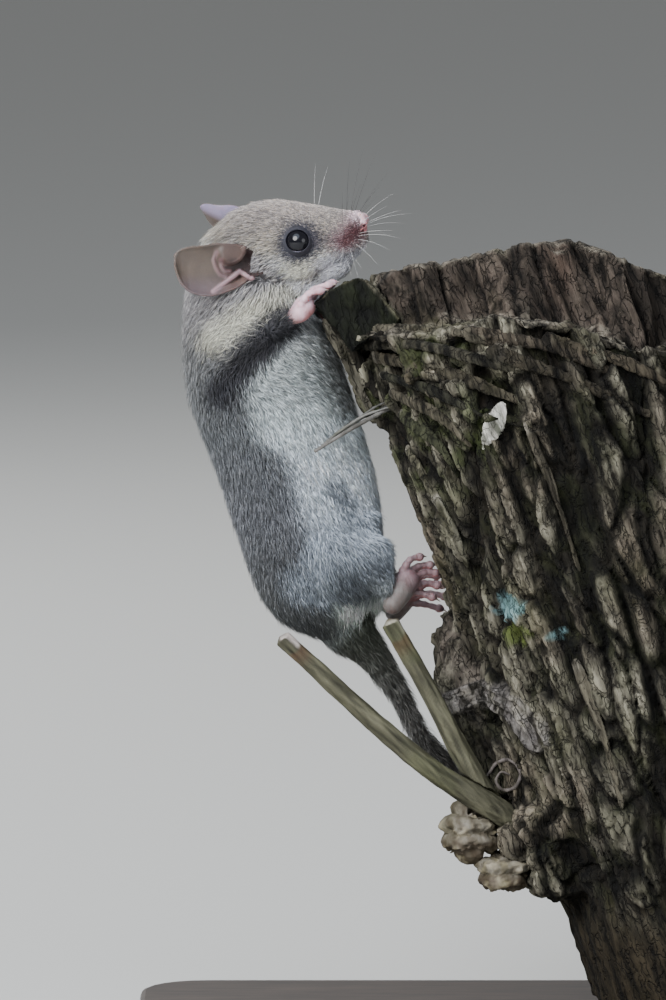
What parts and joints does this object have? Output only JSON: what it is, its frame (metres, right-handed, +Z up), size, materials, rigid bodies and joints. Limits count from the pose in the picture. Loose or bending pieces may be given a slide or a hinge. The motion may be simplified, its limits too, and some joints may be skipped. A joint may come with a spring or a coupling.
{
  "type": "sichuan dormouse",
  "caption": "Life-size still figure of a small grey dormouse climbing a leaning broken trunk, head level, large ears and eyes, long tail hanging behind twigs, on a flat display stand.",
  "frame": {"origin": "middle of the underside of the display base", "axes": "+Z up, +X to the right as the picture shows the animal, from its back towards the trunk, +Y away from the viewer, from its right side to its left"},
  "size_m": [0.15, 0.086, 0.1561],
  "materials": {
    "fur": "soft grey fur, paler below",
    "ear_skin": "thin bare skin, translucent",
    "paw_skin": "pink skin with fine pale hair",
    "eye": "wet black gloss",
    "bark": "rough furrowed bark with moss and lichen",
    "twig": "smooth olive-grey bark",
    "fungus": "matt cream bracket fungus",
    "stand_wood": "dark satin wood",
    "stand_rod": "black satin paint"
  },
  "bodies": {
    "root": {"head": "fur", "neck": "fur", "chest": "fur", "belly": "fur", "rump": "fur", "upper_arm_right": "fur", "upper_arm_left": "fur", "forearm_right": "fur", "forearm_left": "fur", "thigh_right": "fur", "thigh_left": "fur", "shank_right": "fur", "shank_left": "fur", "tail_1": "fur", "tail_2": "fur", "tail_3": "fur", "tail_4": "fur", "ear_right": "ear_skin", "ear_left": "ear_skin", "eye_right": "eye", "eye_left": "eye", "hand_right": "paw_skin", "hand_left": "paw_skin", "foot_right": "paw_skin", "foot_left": "paw_skin", "perch_trunk": "bark", "perch_shard": "bark", "perch_twig_low": "twig", "perch_twig_high": "twig", "perch_stem": "twig", "perch_fungus_high": "fungus", "perch_fungus_low": "fungus", "stand_base": "stand_wood", "stand_rod_1": "stand_rod", "stand_rod_2": "stand_rod"}
  },
  "joints": []
}
